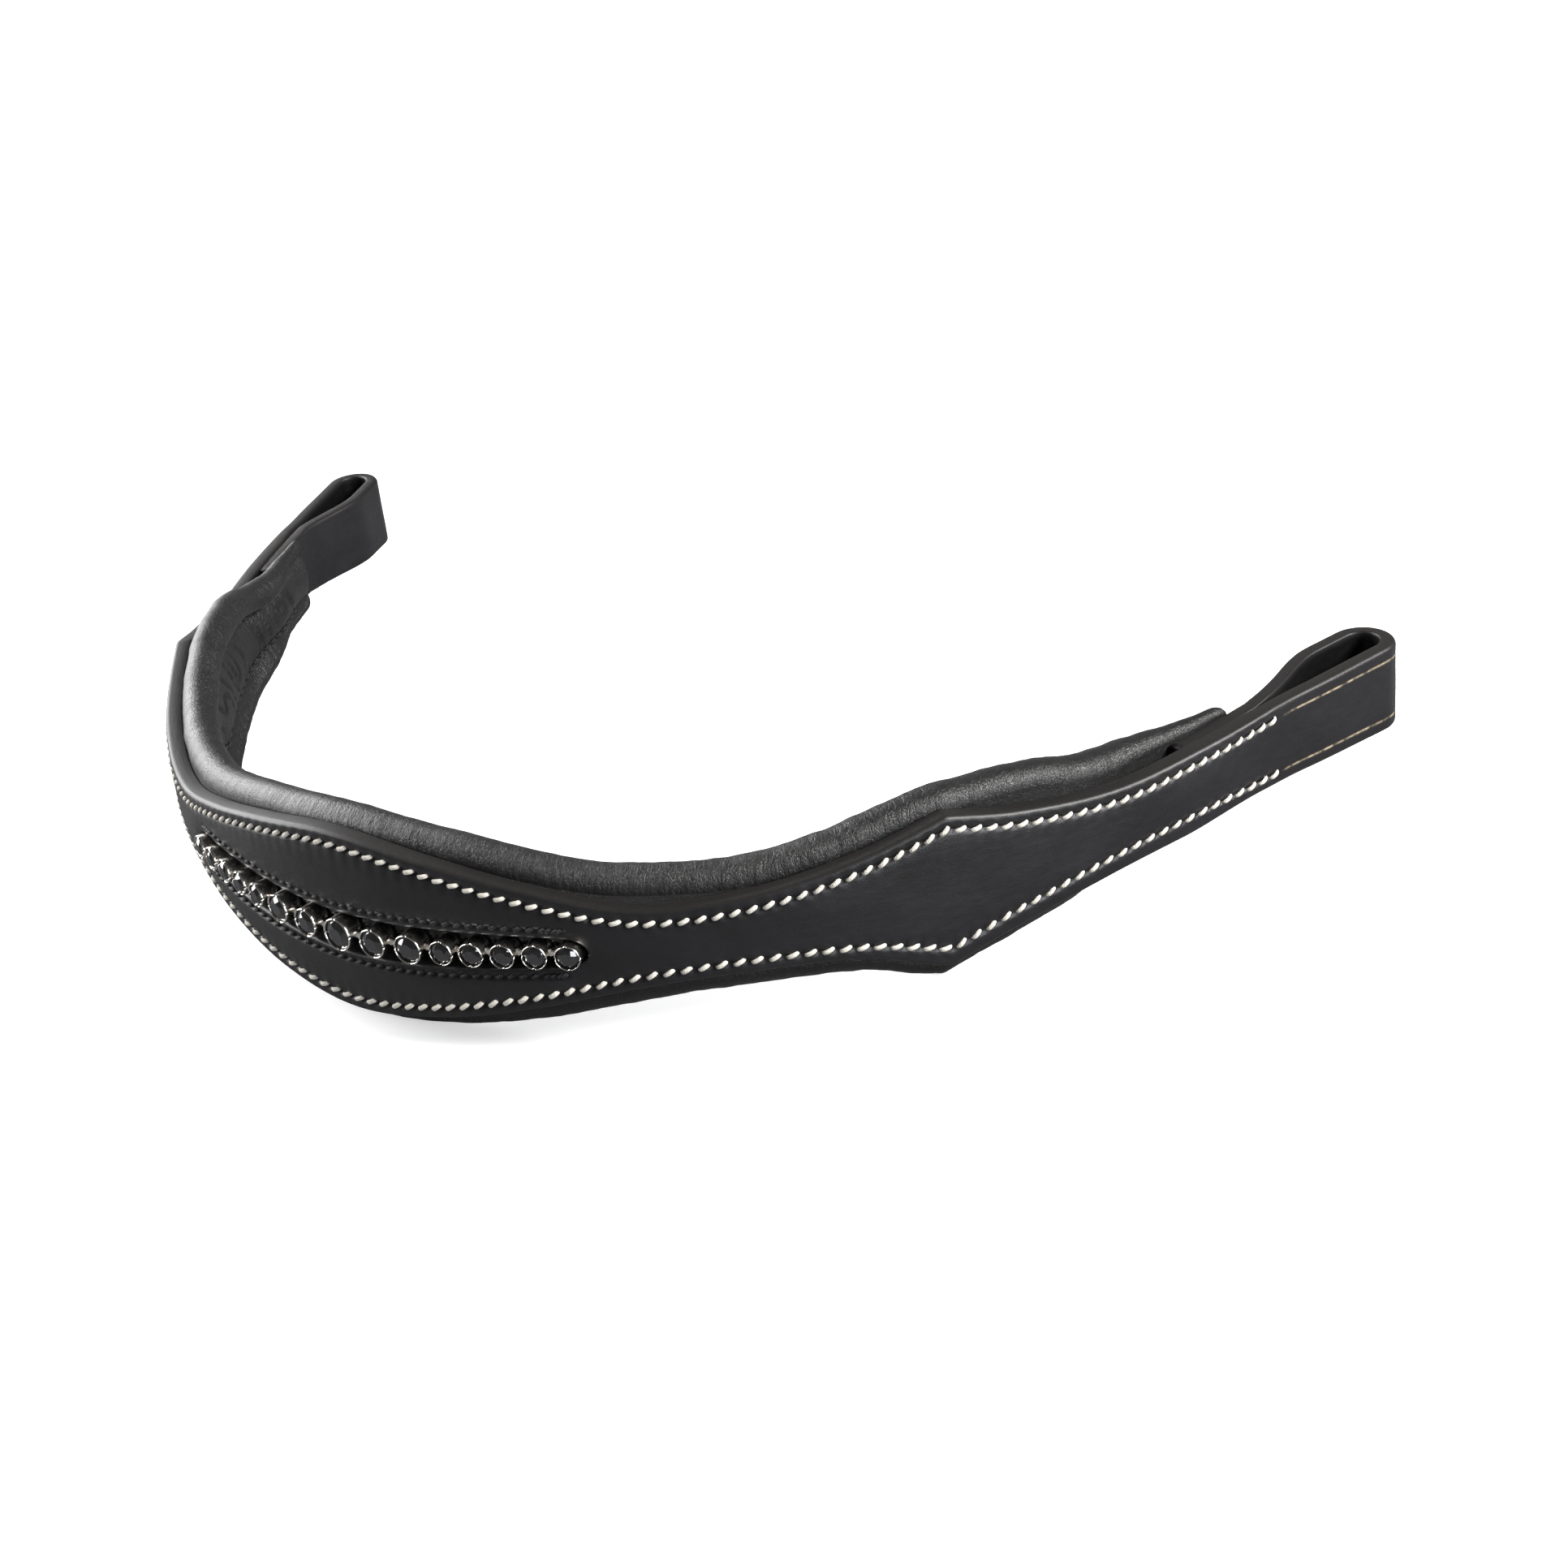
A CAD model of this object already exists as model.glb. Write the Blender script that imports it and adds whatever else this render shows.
import bmesh, bpy, math
import numpy as np
from mathutils import Matrix, Vector, noise

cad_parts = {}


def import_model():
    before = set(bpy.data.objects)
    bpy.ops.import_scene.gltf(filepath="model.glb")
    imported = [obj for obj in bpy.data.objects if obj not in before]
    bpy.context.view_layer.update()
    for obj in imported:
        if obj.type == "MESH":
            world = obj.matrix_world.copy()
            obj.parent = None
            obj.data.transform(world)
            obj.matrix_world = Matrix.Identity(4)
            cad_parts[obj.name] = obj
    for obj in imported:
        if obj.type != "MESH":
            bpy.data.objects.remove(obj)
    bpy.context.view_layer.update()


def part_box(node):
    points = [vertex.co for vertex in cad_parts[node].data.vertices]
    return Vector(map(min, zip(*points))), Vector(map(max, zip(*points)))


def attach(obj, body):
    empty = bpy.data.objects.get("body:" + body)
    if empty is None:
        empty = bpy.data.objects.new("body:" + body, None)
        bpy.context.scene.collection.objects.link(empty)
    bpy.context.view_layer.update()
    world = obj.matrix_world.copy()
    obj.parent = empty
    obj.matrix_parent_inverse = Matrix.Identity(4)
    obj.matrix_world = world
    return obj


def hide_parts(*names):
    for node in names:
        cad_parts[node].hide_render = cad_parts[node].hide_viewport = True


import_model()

# ------------------------------------------------------------------ the band's own rules, in mm, as in the CAD
front_r, front_arc, side_r, half_len = 120.0, 104.5, 217.0, 188.0
tilt = math.radians(10)
corner = 116.0
upper_a = [36.4, 34.2, 30.6, 27.3, 28.8, 33.1, 38.1]
upper_b = [38.1, 35.9, 34.9, 37.3, 40.1]
lower_a = [4.5, 6.9, 11.6, 16.6, 18.9, 18.5, 14.7]
lower_b = [14.7, 19.5, 24.4, 27.2, 28.6]
seam_margin, arm_extra = 2.5, 1.3
strap_t, loop_t, loop_w, loop_len = 3.6, 3.0, 13.0, 36.5
loop_flare, loop_rise = math.radians(2.5), 0.10
roll_r = 3.7
window_half, window_h, window_z = 51.5, 7.8, 18.3
cup_depth, inlay_top, gap = 4.0, -2.5, 0.05
pad_end, tab_end = 182.0, 166.0
st_a = np.array([0, 20, 40, 60, 80, 100, corner])
st_b = np.array([corner, 130, 150, 170, 190])


def turn(s):
    q = np.abs(s)
    return np.minimum(q, front_arc) / front_r + np.maximum(q - front_arc, 0) / side_r


def flat(s, n):
    s = np.asarray(s, float)
    a1, t = np.minimum(np.abs(s), front_arc) / front_r, turn(s)
    x = front_r * np.sin(a1) + side_r * (np.sin(t) - np.sin(a1))
    y = front_r * (1 - np.cos(a1)) + side_r * (np.cos(a1) - np.cos(t))
    return np.where(s < 0, -1, 1) * (x + np.sin(t) * n), y - np.cos(t) * n


def hermite(xs, ys, level, x):
    ys = np.asarray(ys, float)
    m = np.empty(len(xs))
    m[1:-1] = (ys[2:] - ys[:-2]) / (xs[2:] - xs[:-2])
    m[0] = 0 if level else (ys[1] - ys[0]) / (xs[1] - xs[0])
    m[-1] = (ys[-1] - ys[-2]) / (xs[-1] - xs[-2])
    j = np.clip(np.searchsorted(xs, x, side="right") - 1, 0, len(xs) - 2)
    h = xs[j + 1] - xs[j]
    t = (x - xs[j]) / h
    return ((2 * t**3 - 3 * t**2 + 1) * ys[j] + (t**3 - 2 * t**2 + t) * h * m[j]
            + (3 * t**2 - 2 * t**3) * ys[j + 1] + (t**3 - t**2) * h * m[j + 1])


def seam_z(s, a, b):
    q = np.abs(np.asarray(s, float))
    return np.where(q <= corner, hermite(st_a, a, True, np.minimum(q, corner)),
        hermite(st_b, b, False, np.maximum(q, corner)))


def hi(s): return seam_z(s, upper_a, upper_b)
def lo(s): return seam_z(s, lower_a, lower_b)
def top_z(s): return hi(s) + seam_margin


def bot_z(s):
    q = np.abs(s)
    return lo(s) - seam_margin - arm_extra * (ease((q - 98) / 16) - ease((q - 165) / 20))


def ease(t):
    c = np.clip(t, 0, 1)
    return c * c * (3 - 2 * c)


def cut(s, w): return np.maximum(0, 1 - np.abs(np.abs(s) - corner) / w)**2
def pad_front(s): return -strap_t - gap - (loop_t + gap) * ease((np.abs(s) - 140) / 24)
def roll(s): return roll_r - 2.4 * ease((np.abs(s) - 148) / (pad_end - 148))
def roll_low(s): return np.maximum(1.25, roll(s) - 1.1 * ease((np.abs(s) - 95) / 20))


def roll_z1(s):
    q = np.abs(s)
    swell = 1.3 * np.exp(-((q - 63) / 13)**2) + 1.9 * np.exp(-((q - 135) / 13)**2)
    return top_z(s) + 0.3 - 1.6 * (1 - ease(q / 38)) + swell - 0.5 * ease((q - 140) / 30) - 1.4 * cut(s, 16)


def roll_z0(s):
    q = np.abs(s)
    return bot_z(s) - 0.3 - 1.7 * ease(q / 60) + 2.2 * ease((q - 135) / 35) + 0.3 * cut(s, 12)


def seam_n(s): return pad_front(s) - 3.3 + 1.6 * ease((np.abs(s) - 158) / (pad_end - 158))
def puff(s): return 1.6 * ease((hi(s) - lo(s)) / 22) + 0.5
def window_mid(s): return window_z + 2.8 * ease(np.abs(s) / 52)


def window_half_h(s):
    q, r = np.abs(np.asarray(s, float)), window_half - 4.5
    end = np.sqrt(np.maximum(0, 1 - (np.maximum(q - r, 0) / 4.5)**2))
    return window_h / 2 * (1 - 0.28 * (np.minimum(q, r) / r)**2) * end


# The band is set in the frame by its strap: the lean is known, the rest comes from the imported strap's box.
SHIFT = np.zeros(3)


def stand(x, y, z):
    c, s = math.cos(tilt), math.sin(tilt)
    return (np.stack(np.broadcast_arrays(x, y * c + z * s, z * c - y * s), -1) + SHIFT) / 1000


def pt(s, n, z):
    x, y = flat(s, n)
    return stand(x, y, np.asarray(z, float))


S_ = np.arange(-half_len, half_len + 0.01, 0.5)
raw = np.concatenate([pt(S_, n, f(S_)) for n in (0, -strap_t) for f in (top_z, bot_z)]) * 1000
slo, shi = (np.array(v) * 1000 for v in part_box("front_strap"))
SHIFT = np.array([(slo[0] + shi[0]) / 2, slo[1] - raw[:, 1].min(), shi[2] - raw[:, 2].max()])


# ------------------------------------------------------------------ mesh helpers
def obj(name, verts, faces, mats, ride=True, smooth=True, attrs=None, face_mat=None):
    me = bpy.data.meshes.new(name)
    me.from_pydata([tuple(v) for v in np.asarray(verts).reshape(-1, 3)], [],
        [tuple(int(i) for i in f) for f in faces])
    me.validate()
    for m in (mats if isinstance(mats, list) else [mats]):
        me.materials.append(m)
    if face_mat is not None:
        me.polygons.foreach_set("material_index", np.asarray(face_mat, np.int32))
    me.polygons.foreach_set("use_smooth", np.full(len(me.polygons), smooth))
    for key, val in (attrs or {}).items():
        val = np.asarray(val, np.float32)
        kind = "FLOAT_COLOR" if val.shape[-1] == 4 else "FLOAT_VECTOR"
        at = me.attributes.new(key, kind, "POINT")
        at.data.foreach_set("color" if kind == "FLOAT_COLOR" else "vector", val.reshape(-1))
    o = bpy.data.objects.new(name, me)
    bpy.context.collection.objects.link(o)
    me.update()
    if ride:
        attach(o, "root")
    return o


def strip(n, m, closed=True):
    """Quads between n rings of m points."""
    k = m if closed else m - 1
    i, j = np.meshgrid(np.arange(n - 1), np.arange(k), indexing="ij")
    j2 = (j + 1) % m
    return np.stack([i * m + j, i * m + j2, (i + 1) * m + j2, (i + 1) * m + j], -1).reshape(-1, 4)


def fix_normals(o):
    bm = bmesh.new()
    bm.from_mesh(o.data)
    bmesh.ops.recalc_face_normals(bm, faces=bm.faces)
    bm.to_mesh(o.data)
    bm.free()


def nz(x, y, z=0.0):
    return noise.noise(Vector((float(x), float(y), float(z))))


def nz_grid(a, b, c=0.0):
    a, b = np.broadcast_arrays(a, b)
    return np.array([nz(x, y, c) for x, y in zip(a.ravel(), b.ravel())]).reshape(a.shape)


# ------------------------------------------------------------------ materials
def material(name, base, rough, spec=0.5, metallic=0.0):
    m = bpy.data.materials.new(name)
    m.use_nodes = True
    nt = m.node_tree
    b = nt.nodes["Principled BSDF"]
    b.inputs["Base Color"].default_value = (*base, 1)
    b.inputs["Roughness"].default_value = rough
    b.inputs["Specular IOR Level"].default_value = spec
    b.inputs["Metallic"].default_value = metallic
    return m, nt, b


def attr(nt, name):
    n = nt.nodes.new("ShaderNodeAttribute")
    n.attribute_name = name
    return n


def noise_tex(nt, vec, scale, detail=3.0, rough=0.5):
    n = nt.nodes.new("ShaderNodeTexNoise")
    n.inputs["Scale"].default_value = scale
    n.inputs["Detail"].default_value = detail
    n.inputs["Roughness"].default_value = rough
    nt.links.new(vec, n.inputs["Vector"])
    return n


def voronoi(nt, vec, scale, feature="DISTANCE_TO_EDGE"):
    n = nt.nodes.new("ShaderNodeTexVoronoi")
    n.feature = feature
    n.inputs["Scale"].default_value = scale
    nt.links.new(vec, n.inputs["Vector"])
    return n


def ramp(nt, fac, stops):
    n = nt.nodes.new("ShaderNodeValToRGB")
    while len(n.color_ramp.elements) < len(stops):
        n.color_ramp.elements.new(0.5)
    for e, (p, c) in zip(n.color_ramp.elements, stops):
        e.position, e.color = p, (*c, 1) if len(c) == 3 else (c[0], c[0], c[0], 1)
    nt.links.new(fac, n.inputs["Fac"])
    return n


def mix(nt, fac, a, b, kind="MIX"):
    n = nt.nodes.new("ShaderNodeMix")
    n.data_type = "RGBA"
    n.blend_type = kind
    for sock, v in ((n.inputs[0], fac), (n.inputs[6], a), (n.inputs[7], b)):
        if isinstance(v, (int, float)):
            sock.default_value = v
        elif isinstance(v, tuple):
            sock.default_value = (*v, 1) if len(v) == 3 else v
        else:
            nt.links.new(v, sock)
    return n.outputs[2]


def bump(nt, b, heights):
    """Chained bumps: (height socket, distance in metres, strength)."""
    last = None
    for h, dist, strength in heights:
        n = nt.nodes.new("ShaderNodeBump")
        n.inputs["Distance"].default_value = dist
        n.inputs["Strength"].default_value = strength
        nt.links.new(h, n.inputs["Height"])
        if last is not None:
            nt.links.new(last.outputs[0], n.inputs["Normal"])
        last = n
    nt.links.new(last.outputs[0], b.inputs["Normal"])


def scaled(nt, vec, sx, sy, sz=1.0):
    n = nt.nodes.new("ShaderNodeMapping")
    n.inputs["Scale"].default_value = (sx, sy, sz)
    nt.links.new(vec, n.inputs["Vector"])
    return n.outputs[0]


def separate(nt, col):
    n = nt.nodes.new("ShaderNodeSeparateColor")
    nt.links.new(col, n.inputs[0])
    return n.outputs


# mask: red is the painted edge, green the stitch holes and dark hollows, blue the creased line on the loops
# along: length along the band, height, and a third value that sets front and back apart
def bridle_leather():
    m, nt, b = material("bridle_leather", (0.012, 0.012, 0.014), 0.42, 0.42)
    at, mask = attr(nt, "along"), attr(nt, "mask")
    vec = at.outputs["Vector"]
    r, g, bl = separate(nt, mask.outputs["Color"])[:3]
    cloud = noise_tex(nt, scaled(nt, vec, 0.05, 0.09), 1.0, 4, 0.6)
    fine = noise_tex(nt, vec, 2.4, 3, 0.6)
    pore = voronoi(nt, vec, 1.7)
    face = ramp(nt, cloud.outputs["Fac"],
        [(0.3, (0.0062, 0.0060, 0.0068)), (0.55, (0.0092, 0.0090, 0.0104)),
        (0.8, (0.0145, 0.0142, 0.0162))]).outputs[0]
    paint = ramp(nt, fine.outputs["Fac"],
        [(0.3, (0.0035, 0.003, 0.0028)), (0.7, (0.010, 0.008, 0.0072))]).outputs[0]
    col = mix(nt, r, face, paint)
    col = mix(nt, g, col, (0.001, 0.001, 0.001))
    dash = noise_tex(nt, scaled(nt, vec, 0.5, 0.5), 1.0, 2)
    tan = ramp(nt, dash.outputs["Fac"], [(0.38, (0.05, 0.04, 0.03)), (0.6, (0.42, 0.34, 0.23))]).outputs[0]
    col = mix(nt, bl, col, tan)
    nt.links.new(col, b.inputs["Base Color"])
    scuff = noise_tex(nt, scaled(nt, vec, 0.3, 0.9), 1.0, 5, 0.65)
    ro = ramp(nt, scuff.outputs["Fac"], [(0.3, (0.31,)), (0.7, (0.44,))]).outputs[0]
    ro = mix(nt, r, ro, (0.50, 0.50, 0.50))
    nt.links.new(ro, b.inputs["Roughness"])
    b.inputs["Sheen Weight"].default_value = 0.02
    b.inputs["Sheen Roughness"].default_value = 0.5
    bump(nt, b, [(scuff.outputs["Fac"], 0.00012, 0.35), (fine.outputs["Fac"], 0.00006, 0.5),
        (pore.outputs["Distance"], 0.00005, 0.35)])
    return m


def soft_leather():
    m, nt, b = material("soft_leather", (0.014, 0.014, 0.016), 0.48, 0.5)
    vec = attr(nt, "along").outputs["Vector"]
    g = separate(nt, attr(nt, "mask").outputs["Color"])[1]
    cloud = noise_tex(nt, scaled(nt, vec, 0.06, 0.06), 1.0, 4, 0.6)
    grain = voronoi(nt, scaled(nt, vec, 1.0, 0.8), 1.15)
    cell = voronoi(nt, scaled(nt, vec, 1.6, 0.9), 2.2)
    wr = noise_tex(nt, scaled(nt, vec, 0.75, 0.16), 1.0, 5, 0.62)
    fine = noise_tex(nt, vec, 3.5, 2, 0.5)
    col = ramp(nt, cloud.outputs["Fac"],
        [(0.3, (0.0052, 0.0050, 0.0050)), (0.7, (0.0098, 0.0094, 0.0092))]).outputs[0]
    col = mix(nt, g, col, (0.002, 0.002, 0.002))
    nt.links.new(col, b.inputs["Base Color"])
    ro = ramp(nt, wr.outputs["Fac"], [(0.3, (0.33,)), (0.7, (0.46,))]).outputs[0]
    nt.links.new(ro, b.inputs["Roughness"])
    b.inputs["Sheen Weight"].default_value = 0.02
    b.inputs["Sheen Roughness"].default_value = 0.45
    edge = ramp(nt, grain.outputs["Distance"], [(0.0, (0.0,)), (0.12, (1.0,))]).outputs[0]
    edge2 = ramp(nt, cell.outputs["Distance"], [(0.0, (0.0,)), (0.15, (1.0,))]).outputs[0]
    bump(nt, b, [(wr.outputs["Fac"], 0.0006, 0.55), (edge, 0.00007, 0.55), (edge2, 0.00005, 0.5),
        (fine.outputs["Fac"], 0.00005, 0.5)])
    return m


def patent():
    m, nt, b = material("patent_leather", (0.004, 0.004, 0.005), 0.16, 0.5)
    vec = attr(nt, "along").outputs["Vector"]
    wob = noise_tex(nt, scaled(nt, vec, 0.35, 0.35), 1.0, 3, 0.55)
    fine = noise_tex(nt, vec, 1.4, 2, 0.5)
    nt.links.new(ramp(nt, wob.outputs["Fac"],
        [(0.3, (0.0035, 0.0035, 0.0042)), (0.7, (0.008, 0.008, 0.009))]).outputs[0], b.inputs["Base Color"])
    nt.links.new(ramp(nt, fine.outputs["Fac"], [(0.3, (0.13,)), (0.7, (0.24,))]).outputs[0], b.inputs["Roughness"])
    b.inputs["Coat Weight"].default_value = 0.7
    b.inputs["Coat Roughness"].default_value = 0.06
    bump(nt, b, [(wob.outputs["Fac"], 0.0007, 0.6), (fine.outputs["Fac"], 0.00008, 0.4)])
    return m


def thread(name, dark, light, rough):
    m, nt, b = material(name, light, rough, 0.35)
    vec = attr(nt, "along").outputs["Vector"]
    wave = nt.nodes.new("ShaderNodeTexWave")
    wave.inputs["Scale"].default_value = 1.1
    wave.inputs["Distortion"].default_value = 0.6
    wave.bands_direction = "DIAGONAL"
    nt.links.new(vec, wave.inputs["Vector"])
    fz = noise_tex(nt, vec, 3.0, 3, 0.6)
    f = mix(nt, 0.45, wave.outputs["Color"], fz.outputs["Color"])
    nt.links.new(ramp(nt, f, [(0.15, dark), (0.7, light)]).outputs[0], b.inputs["Base Color"])
    nt.links.new(ramp(nt, fz.outputs["Fac"], [(0.3, (rough - 0.1,)), (0.7, (rough + 0.1,))]).outputs[0],
        b.inputs["Roughness"])
    bump(nt, b, [(wave.outputs["Fac"], 0.00012, 0.6), (fz.outputs["Fac"], 0.00005, 0.5)])
    return m


def metal():
    m, nt, b = material("silver_metal", (0.82, 0.79, 0.74), 0.12, 0.5, 1.0)
    tc = nt.nodes.new("ShaderNodeTexCoord")
    n1 = noise_tex(nt, tc.outputs["Object"], 900.0, 3, 0.6)
    n2 = noise_tex(nt, tc.outputs["Object"], 160.0, 2, 0.5)
    nt.links.new(ramp(nt, n2.outputs["Fac"], [(0.3, (0.80, 0.76, 0.70)), (0.7, (0.90, 0.88, 0.85))]).outputs[0],
        b.inputs["Base Color"])
    nt.links.new(ramp(nt, n1.outputs["Fac"], [(0.3, (0.14,)), (0.7, (0.24,))]).outputs[0], b.inputs["Roughness"])
    bump(nt, b, [(n2.outputs["Fac"], 0.00015, 0.3)])
    return m


def crystal():
    m, nt, b = material("black_crystal", (0.003, 0.003, 0.004), 0.03, 0.85)
    tc = nt.nodes.new("ShaderNodeTexCoord")
    n1 = noise_tex(nt, tc.outputs["Object"], 700.0, 2, 0.5)
    nt.links.new(ramp(nt, n1.outputs["Fac"],
        [(0.35, (0.002, 0.002, 0.003)), (0.65, (0.007, 0.007, 0.009))]).outputs[0], b.inputs["Base Color"])
    nt.links.new(ramp(nt, n1.outputs["Fac"], [(0.3, (0.02,)), (0.7, (0.05,))]).outputs[0], b.inputs["Roughness"])
    b.inputs["IOR"].default_value = 1.6
    b.inputs["Coat Weight"].default_value = 0.6
    b.inputs["Coat Roughness"].default_value = 0.02
    return m


def foam():
    m, nt, b = material("foam", (0.2, 0.2, 0.22), 0.9, 0.2)
    vec = attr(nt, "along").outputs["Vector"]
    v = voronoi(nt, vec, 0.9)
    nt.links.new(ramp(nt, v.outputs["Distance"], [(0.0, (0.11, 0.11, 0.12)), (0.3, (0.24, 0.24, 0.26))]).outputs[0],
        b.inputs["Base Color"])
    bump(nt, b, [(v.outputs["Distance"], 0.0003, 0.5)])
    return m


LEATHER, SOFT, PATENT, METAL, CRYSTAL, FOAM = bridle_leather(), soft_leather(), patent(), metal(), crystal(), foam()
WHITE = thread("white_thread", (0.42, 0.38, 0.31), (0.86, 0.83, 0.76), 0.6)
BLACK = thread("black_thread", (0.003, 0.003, 0.003), (0.016, 0.016, 0.017), 0.5)

# ------------------------------------------------------------------ seams as lists of stitches
fine_s = np.arange(0, 190.01, 0.25)


def seam_s(fn, arc):
    """Arc length along the band of points at those lengths along a seam."""
    h = fn(fine_s)
    length = np.r_[0, np.cumsum(np.hypot(np.diff(fine_s), np.diff(h)))]
    return np.sign(arc) * np.interp(np.abs(arc), length, fine_s)


UP_PITCH, LO_PITCH = 3.0, 3.12
up_k = np.arange(-44, 83)
lo_k = np.arange(-46, 77)
up_stitch, up_hole = seam_s(hi, (up_k - 18.8) * UP_PITCH), seam_s(hi, (np.r_[up_k, up_k[-1] + 1] - 19.3) * UP_PITCH)
lo_stitch, lo_hole = seam_s(lo, (lo_k - 14.56) * LO_PITCH), seam_s(lo,
    (np.r_[lo_k, lo_k[-1] + 1] - 15.06) * LO_PITCH)


def above(s): return window_mid(s) + window_half_h(s) + 1.8
def below(s): return window_mid(s) - window_half_h(s) - 1.5


def holes(s, z, at, fn, ang, rl=0.62, rs=0.34):
    """How deep in a stitch hole each point (s, z) lies, 0 to 1. The holes are slanted slits."""
    g = np.zeros(np.shape(s))
    for h in at:
        zc = float(fn(np.array(h)))
        near = (np.abs(s - h) < 1.6) & (np.abs(z - zc) < 1.6)
        if not near.any():
            continue
        e = 0.5
        sl = math.atan2(float(fn(np.array(h + e)) - fn(np.array(h - e))), 2 * e) + ang
        ds, dz = s[near] - h, z[near] - zc
        u, v = ds * math.cos(sl) + dz * math.sin(sl), -ds * math.sin(sl) + dz * math.cos(sl)
        g[near] = np.maximum(g[near], np.exp(-(u / rl)**2 - (v / rs)**2))
    return g


# ------------------------------------------------------------------ front strap and both end loops, one leather
def arris(d, r):
    d = np.clip(d, 0, r)
    return -r + np.sqrt(np.maximum(0, r * r - (r - d)**2))


D1 = np.array([0, 0.08, 0.2, 0.38, 0.6, 0.85, 1.15, 1.5, 1.8, 2.05, 2.25, 2.4, 2.52, 2.64, 2.8, 3.0, 3.25, 3.6])
D2 = np.array([2.5, 2.1, 1.8, 1.5, 1.15, 0.8, 0.5, 0.3, 0.14, 0.04, 0])


def rows(zb, zm):
    """Heights from an outer edge zb to an inner edge zm, close together at both."""
    sg = np.sign(zm - zb)[:, None]
    h = np.abs(zm - zb)[:, None]
    k = np.minimum(1.0, h / 7.2)
    a, b = D1[None] * k, h - D2[None] * k
    mid = a[:, -1:] + (b[:, :1] - a[:, -1:]) * np.array([[0.25, 0.5, 0.75]])
    return zb[:, None] + sg * np.concatenate([a, mid, b], 1)


ss = np.unique(np.round(np.concatenate([np.arange(-half_len, half_len + 0.01, 0.5), [v * q for v in (-1, 1) for q in
    (46.75, 47.25, 48.25, 49.25, 49.75, 50.25, 50.6, 50.8, 51, 51.2, 51.3, 51.4, 51.48, 51.6, 51.75, 52.2)]]), 3))
w = np.where(np.abs(ss) < window_half, window_half_h(ss), 0)
far = ease((np.abs(ss) - window_half) / 30)
mid = window_mid(ss) * (1 - far) + (top_z(ss) + bot_z(ss)) / 2 * far
Z = np.concatenate([rows(bot_z(ss), mid - w), rows(top_z(ss), mid + w)[:, ::-1]], 1)
M = Z.shape[1]
half = M // 2
Sg = np.repeat(ss[:, None], M, 1)
# distance to the window's edge
q = np.linspace(-window_half, window_half, 1200)
wx = np.r_[q, q[::-1]]
wz = np.r_[window_mid(q) + window_half_h(q), (window_mid(q) - window_half_h(q))[::-1]]
dw = np.full(Z.shape, 9.0)
near = np.abs(Sg) < window_half + 3
for i in np.where(near.any(1))[0]:
    sel = np.abs(wx - ss[i]) < 5
    dw[i] = np.sqrt((wx[sel][None] - ss[i])**2 + (wz[sel][None] - Z[i][:, None])**2).min(1)
slope_t = np.gradient(top_z(ss), ss)[:, None]
slope_b = np.gradient(bot_z(ss), ss)[:, None]
dt = (top_z(ss)[:, None] - Z) / np.sqrt(1 + slope_t**2)
db = (Z - bot_z(ss)[:, None]) / np.sqrt(1 + slope_b**2)
de = np.minimum(dt, db)
du_, dl_ = np.abs(Z - hi(ss)[:, None]), np.abs(Z - lo(ss)[:, None])
stitched = ease((half_len + 0.6 - np.abs(Sg)) / 1.5)
g = np.maximum(holes(Sg, Z, up_hole, hi, math.radians(52)), holes(Sg, Z, lo_hole, lo, math.radians(52)))
black_u = np.arange(-47, 47.01, 2.35)
g2 = np.maximum(holes(Sg, Z, black_u, above, math.radians(40), 0.5, 0.3),
    holes(Sg, Z, black_u, below, math.radians(40), 0.5, 0.3))
crown = 0.28 * np.sin(np.pi * np.clip((Z - bot_z(ss)[:, None]) / (top_z(ss) - bot_z(ss))[:, None], 0, 1))**0.7
lumps = nz_grid(Sg / 9.0, Z / 7.0, 3.1) * 0.10 + nz_grid(Sg / 3.2, Z / 2.6, 7.7) * 0.03
lump_fade = ease((de - 0.3) / 2) * ease((half_len - np.abs(Sg)) / 12)
valley = -0.24 * (np.exp(-(du_ / 0.75)**2) + np.exp(-(dl_ / 0.75)**2)) * stitched
pucker = 0.07 * (np.cos((Sg + 0.4 * (Z - hi(ss)[:, None])) * 2 * np.pi / 3.0) * np.exp(-((du_ - 0.9) / 0.7)**2)
                 + np.cos((Sg + 0.4 * (Z - lo(ss)[:, None])) * 2 * np.pi / 3.1)
                 * np.exp(-((dl_ - 0.9) / 0.7)**2)) * stitched
win_valley = np.where(np.abs(Sg) < 48,
    -0.2 * (np.exp(-(np.abs(Z - above(ss)[:, None]) / 0.5)**2)
    + np.exp(-(np.abs(Z - below(ss)[:, None]) / 0.5)**2)), 0)
win_roll = -0.35 * np.exp(-(dw / 1.6)**2)
Nf = (arris(de, 0.9) + arris(np.where(dw < 9, dw, 9), 0.6)
    + crown * ease(de / 2.5) * ease((half_len - np.abs(Sg)) / 14)
      + valley + pucker + win_valley + win_roll + lumps * lump_fade - 0.4 * g - 0.22 * g2)
thick = strap_t + (loop_t - strap_t) * ease((np.abs(ss) - half_len + 8) / 8)
Nb = -thick[:, None] - arris(de, 0.45) - arris(np.where(dw < 9, dw, 9), 0.3)
F3, B3 = pt(Sg, Nf, Z), pt(Sg, Nb, Z)
mask_f = np.zeros(Z.shape + (4,)); mask_f[..., 3] = 1
mask_f[..., 0] = 1 - ease((de - 0.1) / 0.7)
mask_f[..., 1] = np.maximum(np.clip(g * 1.5, 0, 1), np.clip(g2 * 1.2, 0, 1))
mask_b = np.zeros(Z.shape + (4,)); mask_b[..., 3] = 1
mask_b[..., 0] = 1 - ease((de - 0.3) / 0.7)
al_f = np.stack([Sg, Z, 0 * Z], -1)
al_b = np.stack([Sg, Z, 0 * Z + 9], -1)

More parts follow.
